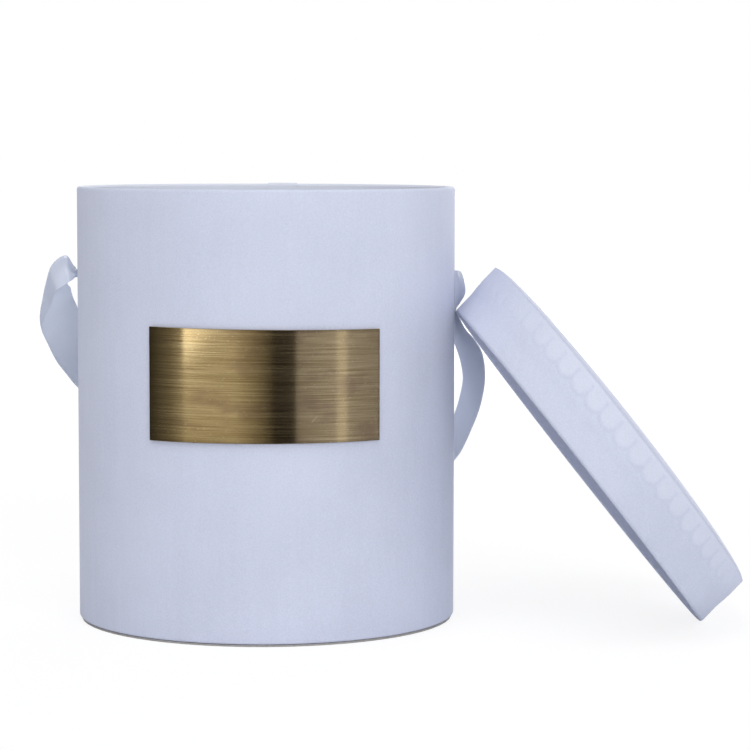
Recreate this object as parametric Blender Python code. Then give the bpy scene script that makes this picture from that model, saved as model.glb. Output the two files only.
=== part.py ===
"""Round flower gift box: a velvet-covered greyboard tube with a brass plate and a satin ribbon
handle, and its slip lid leaning against it, open side towards the box. Metres, +Z up, the
origin at the middle of the base, +X towards the lid, -Y the front with the plate."""

from math import cos, pi, radians, sin, sqrt

import bmesh
import bpy
from mathutils import Matrix, Vector

for old_object in list(bpy.data.objects):
    bpy.data.objects.remove(old_object, do_unlink=True)

# Papers and boards that the box is made from
board = 0.0020
velvet = 0.0005
lining_paper = 0.0003
glue_line = 0.0003
board_edge_round = 0.0006

# Box body
body_radius = 0.100
body_height = 0.229
hem_width = 0.010
turn_in = 0.015
lining_lap = 0.007
cover_board = 0.0010
cover_setback = 0.0012

# Brass plate on the front
plate_width = 0.1226
plate_height = 0.0563
plate_centre_height = 0.1309
plate_offset_angle = radians(-0.7)
plate_thickness = 0.0006
adhesive_thickness = 0.0003
adhesive_margin = 0.0015

# Lid
lid_clearance = 0.0013
lid_wall_height = 0.0306
lid_board = 0.0016
lid_turn_in = 0.012
tab_length = 0.0100
tab_band = 0.0016
tab_width_share = 0.80
tab_count = 58
crown_height = 0.0060
wrap_step_run = 0.0100

# How the lid leans, how far it stands to the front, and how far its top has slid up the slope
# over its rim, because a hand-made paper lid racks a little under its own weight
lid_lean = radians(51.88)
lid_turn = radians(0.58)
lid_forward = 0.020
lid_rack = 0.0043
lean_gap = 0.0011

# Ribbon handle
ribbon_width = 0.025
ribbon_thickness = 0.0005
ribbon_neck_radius = 0.00225
ribbon_drop = 0.128
ribbon_hole_radius = 0.0030
holes_below_rim = 0.046
knot_radius = 0.0068
knot_length = 0.0120
knot_tail = 0.0150

# Smoothness of the turned pieces and the ribbon
body_sides = 60
corner_steps = 2
hole_sides = 16
ribbon_row_spacing = 0.0062
ribbon_points = 7
crisp_angle = radians(35)

# Sizes that follow from the ones above
ribbon_hole_height = body_height - holes_below_rim
tube_outer = body_radius - velvet - glue_line
tube_inner = tube_outer - board
tube_bottom = cover_board + glue_line + velvet + glue_line
tube_top = body_height - velvet - glue_line
lining_outer = tube_inner - glue_line
lining_inner = lining_outer - lining_paper
lap_outer = lining_outer - velvet - glue_line
floor_level = tube_bottom + board + glue_line

lid_inner = body_radius + lid_clearance
ring_inner = lid_inner + velvet + glue_line
ring_outer = ring_inner + lid_board
tabs_inner = ring_outer + glue_line
tabs_outer = tabs_inner + velvet
ring_top = lid_wall_height - board - glue_line
ring_bottom = velvet + glue_line
tab_tip = lid_wall_height - tab_length


def material(name, colour, roughness, metallic=0.0):
    """A plain Principled BSDF finish."""
    finish = bpy.data.materials.new(name)
    finish.use_nodes = True
    shader = finish.node_tree.nodes["Principled BSDF"]
    shader.inputs["Base Color"].default_value = (*colour, 1.0)
    shader.inputs["Roughness"].default_value = roughness
    shader.inputs["Metallic"].default_value = metallic
    return finish


velvet_paper = material("lilac velvet paper", (0.55, 0.58, 0.74), 0.95)
greyboard = material("greyboard", (0.36, 0.33, 0.29), 0.90)
lining_stock = material("white lining paper", (0.66, 0.67, 0.72), 0.75)
brass = material("brushed antique brass", (0.42, 0.32, 0.16), 0.38, 1.0)
adhesive_film = material("clear adhesive film", (0.70, 0.70, 0.66), 0.40)
satin = material("lilac satin ribbon", (0.58, 0.63, 0.78), 0.35)
foam = material("white foam sheet", (0.80, 0.80, 0.78), 0.95)


def add_piece(name, mesh, finish, parent=None):
    """One named piece, with smooth round faces and crisp board edges."""
    bmesh.ops.recalc_face_normals(mesh, faces=mesh.faces)
    data = bpy.data.meshes.new(name)
    mesh.to_mesh(data)
    mesh.free()
    data.materials.append(finish)
    data.shade_smooth()
    data.set_sharp_from_angle(angle=crisp_angle)
    piece = bpy.data.objects.new(name, data)
    bpy.context.scene.collection.objects.link(piece)
    piece.parent = parent
    return piece


def turned(name, outline, sides, finish, parent=None):
    """A closed outline of (radius, height) points spun round the Z axis."""
    mesh = bmesh.new()
    points = [mesh.verts.new((radius, 0, height)) for radius, height in outline]
    on_axis = outline[0][0] == 0
    ends = points if on_axis else points + points[:1]
    edges = [mesh.edges.new(pair) for pair in zip(ends, ends[1:])]
    bmesh.ops.spin(mesh, geom=points + edges, cent=(0, 0, 0), axis=(0, 0, 1),
                   angle=2 * pi, steps=sides, use_merge=True)
    bmesh.ops.remove_doubles(mesh, verts=mesh.verts, dist=glue_line / sides)
    return add_piece(name, mesh, finish, parent)


def disc(name, radius, bottom, top, sides, finish, parent=None):
    """A flat round board or sheet."""
    return turned(name, [(0, bottom), (radius, bottom), (radius, top), (0, top)],
                  sides, finish, parent)


def corner(centre_radius, centre_height, radius, start, end):
    """Points along a rounded corner, angles in degrees from outwards, counter-clockwise."""
    steps = range(corner_steps + 1)
    angles = [radians(start + (end - start) * step / corner_steps) for step in steps]
    return [(centre_radius + radius * cos(angle), centre_height + radius * sin(angle))
            for angle in angles]


def loft(sections, name, finish, parent=None):
    """A closed skin through rings of equal point count, with a flat cap on each end."""
    mesh = bmesh.new()
    rings = [[mesh.verts.new(point) for point in section] for section in sections]
    for ring, following in zip(rings, rings[1:]):
        for index in range(len(ring)):
            after = (index + 1) % len(ring)
            mesh.faces.new((ring[index], ring[after], following[after], following[index]))
    mesh.faces.new(rings[0])
    mesh.faces.new(rings[-1][::-1])
    return add_piece(name, mesh, finish, parent)


# Body tube: the wound greyboard wall, with its edges softened by handling.

def tube_outline(inner, outer, bottom, top):
    """The section of a board ring with rounded corners."""
    soft = board_edge_round
    return (corner(outer - soft, bottom + soft, soft, -90, 0)
            + corner(outer - soft, top - soft, soft, 0, 90)
            + corner(inner + soft, top - soft, soft, 90, 180)
            + corner(inner + soft, bottom + soft, soft, 180, 270))


body_tube = turned("body_tube", tube_outline(tube_inner, tube_outer, tube_bottom, tube_top),
                   body_sides, greyboard)


# Body wrap: velvet paper hemmed under the tube, up the outside and turned in over the rim.

def body_skin(offset):
    """The path that lies this far off the tube, from the hem to the turned-in edge."""
    soft = board_edge_round
    return ([(tube_outer - hem_width, tube_bottom - offset)]
            + corner(tube_outer - soft, tube_bottom + soft, soft + offset, -90, 0)
            + corner(tube_outer - soft, tube_top - soft, soft + offset, 0, 90)
            + corner(tube_inner + soft, tube_top - soft, soft + offset, 90, 180)
            + [(tube_inner - offset, tube_top - turn_in)])


body_wrap = turned("body_wrap", body_skin(glue_line + velvet) + body_skin(glue_line)[::-1],
                   body_sides, velvet_paper)

# Body lining: paper inside the tube, lapped over the turned-in edge of the wrap.
lap_top = tube_top - lining_lap
lap_bottom = tube_top - turn_in - velvet - glue_line
lap_foot = lap_bottom - velvet - glue_line
body_lining = turned("body_lining", [
    (lining_outer, floor_level), (lining_outer, lap_foot), (lap_outer, lap_bottom),
    (lap_outer, lap_top), (lap_outer - lining_paper, lap_top),
    (lap_outer - lining_paper, lap_bottom), (lining_inner, lap_foot), (lining_inner, floor_level),
], body_sides, lining_stock)

# Base: a board pressed into the tube, a paper on it inside and a cover board glued under it.
disc("base_board", tube_inner - glue_line, tube_bottom, tube_bottom + board, body_sides, greyboard)
disc("base_floor_paper", lining_inner - glue_line, floor_level, floor_level + lining_paper,
     body_sides, lining_stock)
disc("base_cover", body_radius - cover_setback, 0, cover_board, body_sides, greyboard)

# Punched ribbon holes, one on each side, through the wrap, the tube and the lining.
hole_mesh = bmesh.new()
bmesh.ops.create_cone(hole_mesh, cap_ends=True, segments=hole_sides, radius1=ribbon_hole_radius,
                      radius2=ribbon_hole_radius, depth=2 * (body_radius + ribbon_width),
                      matrix=Matrix.Translation((0, 0, ribbon_hole_height))
                      @ Matrix.Rotation(pi / 2, 4, "Y"))
hole_cutter = add_piece("hole_cutter", hole_mesh, greyboard)
hole_cutter.hide_render = True
hole_cutter.display_type = "WIRE"
for holed_piece in (body_tube, body_wrap, body_lining):
    punch = holed_piece.modifiers.new("ribbon holes", "BOOLEAN")
    punch.object = hole_cutter
    punch.operation = "DIFFERENCE"
    punch.solver = "EXACT"


# Brass plate: a thin sheet rolled to the wall's curve, held by a film of adhesive.

def curved_sheet(name, inner, outer, width, height, finish):
    """An upright sheet bent round the box's front."""
    half_angle = width / (2 * inner)
    low, high = plate_centre_height - height / 2, plate_centre_height + height / 2
    steps = 16
    sections = []
    for step in range(steps + 1):
        angle = plate_offset_angle + half_angle * (2 * step / steps - 1)
        across = Vector((sin(angle), -cos(angle), 0))
        sections.append([across * inner + Vector((0, 0, low)), across * outer + Vector((0, 0, low)),
                         across * outer + Vector((0, 0, high)),
                         across * inner + Vector((0, 0, high))])
    return loft(sections, name, finish)


film_inner = body_radius + glue_line
plate_inner = film_inner + adhesive_thickness + glue_line
curved_sheet("plate_adhesive", film_inner, film_inner + adhesive_thickness,
             plate_width - 2 * adhesive_margin, plate_height - 2 * adhesive_margin, adhesive_film)
curved_sheet("brass_plate", plate_inner, plate_inner + plate_thickness,
             plate_width, plate_height, brass)


# Lid wrap: a strip of velvet paper round the rim wall, stepped out over the cover's tabs and
# turned in round the open edge.

def lid_skin(offset):
    """The path that lies this far off the ring and the tabs, from the closed edge to the lining."""
    soft = board_edge_round
    over_tabs = tabs_outer + offset
    over_ring = ring_outer + offset
    step_top = tab_tip - glue_line
    return ([(over_tabs, lid_wall_height), (over_tabs, step_top),
             (over_ring, step_top - wrap_step_run)]
            + corner(ring_outer - soft, ring_bottom + soft, soft + offset, 0, -90)
            + corner(ring_inner + soft, ring_bottom + soft, soft + offset, -90, -180)
            + [(ring_inner - offset, lid_turn_in)])


lid_wrap_outline = lid_skin(glue_line + velvet) + lid_skin(glue_line)[::-1]

# The lid's own frame: its axis leans from upright, and the rim just meets the floor on the
# far side and stands a ribbon's thickness off the box wall on the near side.
racked = Matrix.Identity(4)
racked[0][2] = -lid_rack / lid_wall_height
leaning = Matrix.Rotation(lid_turn, 4, "Z") @ Matrix.Rotation(lid_lean, 4, "Y") @ racked
lid_skin_points = []
for radius, height in lid_wrap_outline:
    for side in range(tab_count):
        angle = 2 * pi * side / tab_count
        lid_skin_points.append(leaning @ Vector((radius * cos(angle), radius * sin(angle), height)))
lowest = min(point.z for point in lid_skin_points)
reach = body_radius + lean_gap


def stand_off(point):
    """How far out the lid has to stand for this point of it to clear the wall."""
    sideways = min(abs(point.y - lid_forward), reach)
    return sqrt(reach ** 2 - sideways ** 2) - point.x


pinch_point = max(lid_skin_points, key=stand_off)
pinch_height = pinch_point.z - lowest
lid_frame = bpy.data.objects.new("lid_frame", None)
bpy.context.scene.collection.objects.link(lid_frame)
lid_frame.rotation_euler = (0, lid_lean, lid_turn)
lid_frame.location = (stand_off(pinch_point), -lid_forward, -lowest)

lid_side_wrap = turned("lid_side_wrap", lid_wrap_outline, tab_count, velvet_paper, lid_frame)

# Lid ring and top board: the greyboard that gives the lid its shape.
turned("lid_ring", tube_outline(ring_inner, ring_outer, ring_bottom, ring_top), tab_count,
       greyboard, lid_frame)
disc("lid_top_board", ring_outer, ring_top + glue_line, lid_wall_height, tab_count, greyboard,
     lid_frame)


# Lid pad: a foam sheet under the cover, thick in the middle and thinned to nothing at the edge.

def dome(drop, foot=0):
    """Points over the lid's crown, this far under the cover's face, from the edge at this
    height over the wall to the middle, closer together near the edge."""
    steps = 6
    edge_bias = 1.8
    points = []
    for step in range(steps):
        angle = pi / 2 * (step / steps) ** edge_bias
        face = Vector((tabs_outer * cos(angle), crown_height * sin(angle)))
        normal = Vector((cos(angle) / tabs_outer, sin(angle) / crown_height)).normalized()
        points.append(face - normal * drop)
    points.append(Vector((0, crown_height - drop)))
    while points[1].y < foot:
        points.pop(0)
    if points[0].y < foot:
        points[0] = points[0].lerp(points[1], (foot - points[0].y) / (points[1].y - points[0].y))
    return [(point.x, lid_wall_height + point.y) for point in points]


pad_top = dome(velvet + glue_line, foot=glue_line)
turned("lid_pad", [(0, pad_top[0][1])] + pad_top, tab_count, foam, lid_frame)


# Lid top cover: a velvet disc over the foam, whose edge is cut into round-ended tabs like gear
# teeth and glued down on the ring, one tab on each flat of the ring.

def tab_outline(pitch):
    """One tab from its left root to its right root, as (sideways, height) in its flat."""
    half = pitch * tab_width_share / 2
    root = lid_wall_height - tab_band
    tip_centre = tab_tip + half
    arc_steps = 6
    arc = [(-half * cos(pi * step / arc_steps), tip_centre - half * sin(pi * step / arc_steps))
           for step in range(arc_steps + 1)]
    return [(-half, root)] + arc + [(half, root)]


def top_cover():
    """The domed cover and its ring of tabs as one closed sheet of velvet."""
    mesh = bmesh.new()
    turn = 2 * pi / tab_count
    pitch = 2 * tabs_outer * sin(turn / 2)
    skins = []
    for drop, radius in ((0, tabs_outer), (velvet, tabs_inner)):
        rings = [[mesh.verts.new((ring_radius * cos(turn * side), ring_radius * sin(turn * side),
                                  height)) for side in range(tab_count)]
                 for ring_radius, height in dome(drop)[:-1]]
        middle = mesh.verts.new((0, 0, dome(drop)[-1][1]))
        band_low = lid_wall_height - tab_band
        band = [mesh.verts.new((radius * cos(turn * side), radius * sin(turn * side), band_low))
                for side in range(tab_count)]
        flat = radius * cos(turn / 2)
        tabs = []
        for side in range(tab_count):
            outward = Vector((cos(turn * (side + 0.5)), sin(turn * (side + 0.5)), 0))
            along = Vector((-outward.y, outward.x, 0))
            tabs.append([mesh.verts.new(outward * flat + along * sideways + Vector((0, 0, height)))
                         for sideways, height in tab_outline(pitch)])
        skins.append((band, tabs))
        for side in range(tab_count):
            after = (side + 1) % tab_count
            for ring, following in zip(rings, rings[1:]):
                mesh.faces.new((ring[side], ring[after], following[after], following[side]))
            mesh.faces.new((rings[-1][side], rings[-1][after], middle))
            mesh.faces.new([rings[0][side]] + [band[side]] + tabs[side]
                           + [band[after], rings[0][after]])
    (outer_band, outer_tabs), (inner_band, inner_tabs) = skins
    for side in range(tab_count):
        after = (side + 1) % tab_count
        outer_edge = [outer_band[side]] + outer_tabs[side] + [outer_band[after]]
        inner_edge = [inner_band[side]] + inner_tabs[side] + [inner_band[after]]
        for step in range(len(outer_edge) - 1):
            mesh.faces.new((outer_edge[step], outer_edge[step + 1],
                            inner_edge[step + 1], inner_edge[step]))
    return mesh


add_piece("lid_top_cover", top_cover(), velvet_paper, lid_frame)

# Lid lining: a paper band from the turned-in edge to the top, and a disc under the top board.
lid_paper_outer = ring_inner - glue_line
lid_disc_level = ring_top
turned("lid_lining_ring", [
    (lid_paper_outer - lining_paper, lid_turn_in + glue_line),
    (lid_paper_outer, lid_turn_in + glue_line),
    (lid_paper_outer, lid_disc_level - lining_paper - glue_line),
    (lid_paper_outer - lining_paper, lid_disc_level - lining_paper - glue_line),
], tab_count, lining_stock, lid_frame)
disc("lid_lining_disc", lid_paper_outer, lid_disc_level - lining_paper, lid_disc_level,
     tab_count, lining_stock, lid_frame)
for lid_piece in lid_frame.children:
    lid_piece.data.transform(racked)

# Ribbon handle: one strip of satin from the left hole, round behind the box, to the right hole.
# Each station gives its fold line, as shares of the ribbon's width off the wall and to the back
# and a share of the drop below the holes, the directions from the fold to the front edge and to
# the back edge (out, back, up), the share of the width in front of the fold, how far the ribbon
# is opened out of its neck, and how round its section is.
left_station_shares = [
    (-0.136, 0.00, 0.000, (0.0, -1.0, 0.0), (0.0, 1.0, 0.0), 0.50, 0.18, 1.0),
    (0.030, 0.00, 0.000, (0.0, -1.0, 0.0), (0.0, 1.0, 0.0), 0.50, 0.18, 1.0),
    (0.130, 0.00, -0.036, (-0.08, -0.43, -0.90), (-0.1, 0.8, -0.5), 0.54, 0.66, 0.5),
    (0.270, 0.03, -0.082, (-0.08, -0.37, -0.93), (-0.3, 0.4, -0.8), 0.70, 0.96, 0.1),
    (0.572, 0.08, -0.044, (-0.21, -0.36, -0.91), (-0.7, 0.45, -0.55), 0.64, 1.0, 0.0),
    (0.722, 0.12, 0.036, (-0.42, -0.43, -0.79), (-0.88, 0.45, -0.15), 0.45, 1.0, 0.0),
    (0.804, 0.16, 0.102, (-0.67, -0.48, -0.56), (-0.90, 0.30, 0.28), 0.32, 1.0, 0.0),
    (0.876, 0.22, 0.182, (-0.76, -0.43, -0.48), (-0.86, 0.22, 0.46), 0.14, 1.0, 0.0),
    (0.846, 0.32, 0.243, (-0.80, -0.50, -0.3), (-0.80, 0.35, 0.50), 0.02, 1.0, 0.0),
    (0.736, 0.44, 0.296, (-0.72, -0.50, -0.5), (-0.72, 0.50, 0.48), 0.0, 1.0, 0.0),
    (0.580, 0.76, 0.372, (-0.68, -0.52, -0.5), (-0.68, 0.52, 0.52), 0.0, 1.0, 0.0),
    (0.410, 1.12, 0.428, (-0.55, -0.60, -0.6), (-0.55, 0.60, 0.58), 0.0, 1.0, 0.0),
    (0.110, 1.68, 0.512, (-0.38, -0.62, -0.7), (-0.38, 0.62, 0.68), 0.0, 1.0, 0.0),
]
# Behind the box each station gives the lower edge's angle round the back, its stand-off and its
# drop, and how upright the strip is; it leans back up to its lowest point and forward after it.
back_station_shares = [
    (37, 0.26, 0.622, 0.62), (53, 0.10, 0.728, 0.66), (70, 0.036, 0.825, 0.80),
    (88, 0.036, 0.908, 0.90), (106, 0.036, 0.967, 0.96), (122, 0.036, 0.997, 0.99),
    (137, 0.070, 0.992, 0.97), (151, 0.180, 0.940, 0.90),
]
ribbon_low_angle = 125
# On the right the ribbon bulges, is pinched flat between the lid's rim and the wall, and falls.
right_fall_shares = [
    (0.095, 1.16, 0.775, (0.1, -0.6, -0.8), (-0.05, 0.62, 0.78), 0.0, 1.0, 0.0),
    (0.230, 1.00, 0.726, (0.1, -0.6, -0.8), (-0.09, 0.64, 0.77), 0.0, 1.0, 0.0),
    (0.410, 0.80, 0.625, (0.2, -0.6, -0.7), (-0.17, 0.68, 0.72), 0.0, 1.0, 0.0),
    (0.585, 0.60, 0.510, (0.3, -0.7, -0.6), (-0.29, 0.72, 0.63), 0.0, 1.0, 0.0),
    (0.676, 0.40, 0.398, (0.4, -0.7, -0.5), (-0.44, 0.72, 0.51), 0.0, 1.0, 0.0),
    (0.680, 0.20, 0.300, (0.5, -0.7, -0.4), (-0.56, 0.70, 0.42), 0.0, 1.0, 0.0),
    (0.600, 0.04, 0.212, (0.6, -0.7, -0.3), (-0.60, 0.72, 0.32), 0.0, 1.0, 0.0),
    (0.446, -0.16, 0.152, (0.5, -0.8, -0.2), (-0.50, 0.83, 0.22), 0.0, 1.0, 0.0),
    (0.160, -0.16, 0.084, (0.2, -1.0, 0.0), (-0.22, 0.97, 0.08), 0.20, 0.97, 0.0),
]
right_bulge_shares = [
    (0.120, 0.00, 0.80, (-0.27, -0.96, 0.0), (0.0, 1.0, 0.0), 0.50, 0.80, 0.0),
    (0.235, 0.00, 0.56, (-0.58, -0.82, 0.0), (-0.2, 1.0, 0.0), 0.50, 0.75, 0.0),
    (0.225, 0.00, 0.25, (-0.57, -0.80, -0.15), (-0.3, 1.0, -0.2), 0.50, 0.70, 0.1),
    (0.130, 0.00, 0.01, (-0.3, -0.95, -0.1), (-0.1, 1.0, -0.1), 0.50, 0.38, 0.6),
    (0.030, 0.00, 0.000, (0.0, -1.0, 0.0), (0.0, 1.0, 0.0), 0.50, 0.18, 1.0),
    (-0.136, 0.00, 0.000, (0.0, -1.0, 0.0), (0.0, 1.0, 0.0), 0.50, 0.18, 1.0),
]
fold_softness = 0.0016
pinch_drop = ribbon_hole_height - pinch_height
fall_drop = ribbon_drop - pinch_drop


def side_station(shares, side, start_drop, drop):
    """One station beside the box as plain values: fold point, directions, shares."""
    out, back, down, to_front, to_back, front_share, opening, roundness = shares
    fold = Vector((side * (body_radius + out * ribbon_width), back * ribbon_width,
                   ribbon_hole_height - start_drop - down * drop))
    front = Vector((side * to_front[0], to_front[1], to_front[2])).normalized()
    rear = Vector((side * to_back[0], to_back[1], to_back[2])).normalized()
    return [*fold, *front, *rear, front_share, opening, roundness]


def back_station(angle, out, down, upright):
    """One station behind the box, the strip lying along the wall with its lower edge here."""
    around = pi - radians(angle)
    radius = body_radius + out * ribbon_width
    outward = Vector((cos(around), sin(around), 0))
    backward = Vector((sin(around), -cos(around), 0))
    lean = sqrt(1 - upright ** 2) * (1 if angle < ribbon_low_angle else -1)
    rear = (backward * lean + Vector((0, 0, upright))).normalized()
    fold = outward * radius + Vector((0, 0, ribbon_hole_height - down * ribbon_drop))
    return [*fold, *(-rear), *rear, 0.0, 1.0, 0.0]


pinch_curl = ribbon_width / (4 * body_radius)
pinch_station = side_station((lean_gap / 2 / ribbon_width, 0.0, 0.0, (-pinch_curl, -1.0, 0.0),
                              (-pinch_curl, 1.0, 0.0), 0.50, 0.88, 0.0), 1, pinch_drop, 0)
stations = ([side_station(shares, -1, 0, ribbon_drop) for shares in left_station_shares]
            + [back_station(*shares) for shares in back_station_shares]
            + [side_station(shares, 1, pinch_drop, fall_drop) for shares in right_fall_shares]
            + [pinch_station]
            + [side_station(shares, 1, 0, pinch_drop) for shares in right_bulge_shares])


def smooth_rows(rows, spacing):
    """Rows read from a smooth curve through the stations, this far apart."""
    smooth = []
    for index in range(len(rows) - 1):
        before = rows[max(index - 1, 0)]
        start, end = rows[index], rows[index + 1]
        after = rows[min(index + 2, len(rows) - 1)]
        span = (Vector(end[:3]) - Vector(start[:3])).length
        lead = (Vector(start[:3]) - Vector(before[:3])).length or span
        trail = (Vector(after[:3]) - Vector(end[:3])).length or span
        steps = max(1, round(span / spacing))
        for step in range(steps):
            share = step / steps
            row = []
            for last, here, there, further in zip(before, start, end, after):
                slope_here = (there - last) * span / (span + lead)
                slope_there = (further - here) * span / (span + trail)
                row.append((2 * share ** 3 - 3 * share ** 2 + 1) * here
                           + (share ** 3 - 2 * share ** 2 + share) * slope_here
                           + (3 * share ** 2 - 2 * share ** 3) * there
                           + (share ** 3 - share ** 2) * slope_there)
            smooth.append(row)
    smooth.append(rows[-1])
    return smooth


def across_ribbon(row, points):
    """The points from the front edge to the back edge at one row, and how round it is there."""
    fold, front, rear = Vector(row[:3]), Vector(row[3:6]).normalized(), Vector(row[6:9]).normalized()
    front_share, opening, roundness = row[9:]
    width = ribbon_width * opening
    line = []
    for index in range(points):
        even = index / (points - 1)
        bunched = (1 - cos(pi * (index + 0.5) / points)) / 2
        place = (even + (bunched - even) * min(max(roundness, 0), 1) - front_share) * width
        reach = sqrt(place ** 2 + fold_softness ** 2 * (1 - roundness) ** 2)
        line.append(fold + rear * (reach + place) / 2 + front * (reach - place) / 2)
    return line


def ribbon_sections():
    """Closed rings round the strip, from the left neck to the right neck."""
    rows = smooth_rows(stations, ribbon_row_spacing)
    lines = [across_ribbon(row, ribbon_points) for row in rows]
    sections = []
    for index, line in enumerate(lines):
        before, after = lines[max(index - 1, 0)], lines[min(index + 1, len(lines) - 1)]
        roundness = min(max(rows[index][11], 0), 1)
        outer, inner = [], []
        for place, point in enumerate(line):
            run = after[place] - before[place]
            width = line[min(place + 1, ribbon_points - 1)] - line[max(place - 1, 0)]
            normal = width.cross(run).normalized()
            angle = pi * (place + 0.5) / ribbon_points
            half = (ribbon_thickness * (1 - roundness) / 2
                    + ribbon_neck_radius * sin(angle) * roundness)
            outer.append(point + normal * half)
            inner.append(point - normal * half)
        sections.append(outer + inner[::-1])
    return sections


# The ribbon turns about the line through its two holes, so its frame stands on that line.
ribbon_frame = bpy.data.objects.new("ribbon_frame", None)
bpy.context.scene.collection.objects.link(ribbon_frame)
ribbon_frame.location = (0, 0, ribbon_hole_height)


def from_hinge(sections):
    """The same rings measured from the line through the holes."""
    hinge = Vector((0, 0, ribbon_hole_height))
    return [[Vector(point) - hinge for point in section] for section in sections]


loft(from_hinge(ribbon_sections()), "ribbon_handle", satin, ribbon_frame)


# Knots: the ribbon's ends are knotted inside the wall, each with a short cut tail.

def knot(name, side):
    """A lumpy knot on the ribbon's neck, then its tail, opening out and hanging down."""
    start = lining_inner - glue_line
    neck = ribbon_neck_radius
    girth_shares = [0.0, 0.75, 1.0, 0.94, 0.98, 0.62, 0.0]
    lump_share, lump_twist = 0.10, radians(63)
    sections = []
    ring_points = 14
    for index, share in enumerate(girth_shares):
        radius = neck + (knot_radius - neck) * share
        inward = knot_length * index / (len(girth_shares) - 1)
        ring = []
        for point in range(ring_points):
            angle = 2 * pi * point / ring_points
            lump = 1 + lump_share * share * cos(2 * angle + lump_twist * index)
            ring.append(Vector((side * (start - inward), radius * lump * cos(angle),
                                radius * lump * sin(angle))))
        sections.append(ring)
    tail_steps = 4
    tail_bend = radians(68)
    reach_share, sag_share = 0.55, 0.80
    spread_bias, thin_bias, sag_bias = 0.7, 0.5, 1.6
    for step in range(1, tail_steps + 1):
        share = step / tail_steps
        half_width = neck + (ribbon_width / 2 - neck) * share ** spread_bias
        half_thick = neck + (ribbon_thickness - neck) * share ** thin_bias
        bend = tail_bend * share
        middle = Vector((side * (start - knot_length - knot_tail * share * reach_share), 0,
                         -knot_tail * share ** sag_bias * sag_share))
        ring = []
        for point in range(ring_points):
            angle = 2 * pi * point / ring_points
            ring.append(middle + Vector((side * half_thick * sin(angle) * sin(bend),
                                         half_width * cos(angle),
                                         half_thick * sin(angle) * cos(bend))))
        sections.append(ring)
    return loft(sections, name, satin, ribbon_frame)


knot("knot_left", -1)
knot("knot_right", 1)
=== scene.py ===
"""Round velvet flower box with a brass plate and a satin ribbon handle, its domed slip lid
leaning against it: the looks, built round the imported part. Metres, +Z up, the origin at the
middle of the base, +X towards the lid, -Y the front with the plate."""

from math import atan2, cos, degrees, hypot, pi, radians, sin, sqrt

import bmesh
import bpy
from mathutils import Matrix, Vector


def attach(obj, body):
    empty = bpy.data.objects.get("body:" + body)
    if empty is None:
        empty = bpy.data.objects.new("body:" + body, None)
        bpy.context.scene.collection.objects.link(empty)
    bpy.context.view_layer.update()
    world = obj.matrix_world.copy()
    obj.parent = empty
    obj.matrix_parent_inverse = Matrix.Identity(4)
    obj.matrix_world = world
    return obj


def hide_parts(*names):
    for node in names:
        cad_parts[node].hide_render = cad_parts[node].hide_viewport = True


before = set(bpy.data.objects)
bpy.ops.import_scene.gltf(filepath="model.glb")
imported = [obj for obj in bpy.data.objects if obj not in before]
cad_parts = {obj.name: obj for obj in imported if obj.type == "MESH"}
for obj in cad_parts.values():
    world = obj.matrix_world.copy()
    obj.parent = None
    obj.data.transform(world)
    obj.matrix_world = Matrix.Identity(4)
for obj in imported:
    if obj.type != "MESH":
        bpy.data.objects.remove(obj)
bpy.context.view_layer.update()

scene = bpy.context.scene
scene.view_settings.view_transform = "Standard"

# ----------------------------------------
# Camera: where the photographer stood, 1.46 m in front of the box and level with its top, turned
# a little to the right so that the leaning lid fits in the square picture.
photo_width = 750
focal_pixels = 2743.5
camera_place = (0, -1.4596, 0.2531)
camera_yaw, camera_pitch, camera_roll = 0.0396, 0.0851, 0.0016


def new_object(name, data):
    """An object with this data, linked into the scene."""
    thing = bpy.data.objects.new(name, data)
    scene.collection.objects.link(thing)
    return thing


camera_data = bpy.data.cameras.new("camera")
camera_data.sensor_width = 36
camera_data.lens = camera_data.sensor_width * focal_pixels / photo_width
camera_data.clip_end = 40
camera = new_object("camera", camera_data)
camera.matrix_world = (Matrix.Translation(camera_place)
                       @ Matrix.Rotation(-camera_yaw, 4, "Z")
                       @ Matrix.Rotation(pi / 2 - camera_pitch, 4, "X")
                       @ Matrix.Rotation(camera_roll, 4, "Z"))
scene.camera = camera


# ----------------------------------------
# Studio: a white table that keeps the soft shadow under the box, white all round as on a
# product shot, four large soft lights, one of them behind, and cards that the brass reflects.

def linear(hex_colour):
    """A colour given as sRGB hex, turned to the linear values that Blender takes."""
    shares = [int(hex_colour[place:place + 2], 16) / 255 for place in (1, 3, 5)]
    return [*[share / 12.92 if share <= 0.04045 else ((share + 0.055) / 1.055) ** 2.4
              for share in shares], 1.0]


def add_node(tree_owner, kind, inputs=(), **settings):
    """One node with its settings by name, and its inputs as values, as the outputs that feed
    them, or as the nodes whose first output in use does."""
    node = tree_owner.node_tree.nodes.new("ShaderNode" + kind)
    for name, value in settings.items():
        setattr(node, name, value)
    for name, value in dict(inputs).items():
        if isinstance(value, bpy.types.Node):
            value = next(output for output in value.outputs if output.enabled)
        if isinstance(value, bpy.types.NodeSocket):
            tree_owner.node_tree.links.new(value, node.inputs[name])
        else:
            node.inputs[name].default_value = value
    return node


def new_finish(name):
    """An empty material with its output node."""
    finish = bpy.data.materials.new(name)
    finish.use_nodes = True
    finish.node_tree.nodes.clear()
    return finish


table_finish = new_finish("matt_white_table_paper")
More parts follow.
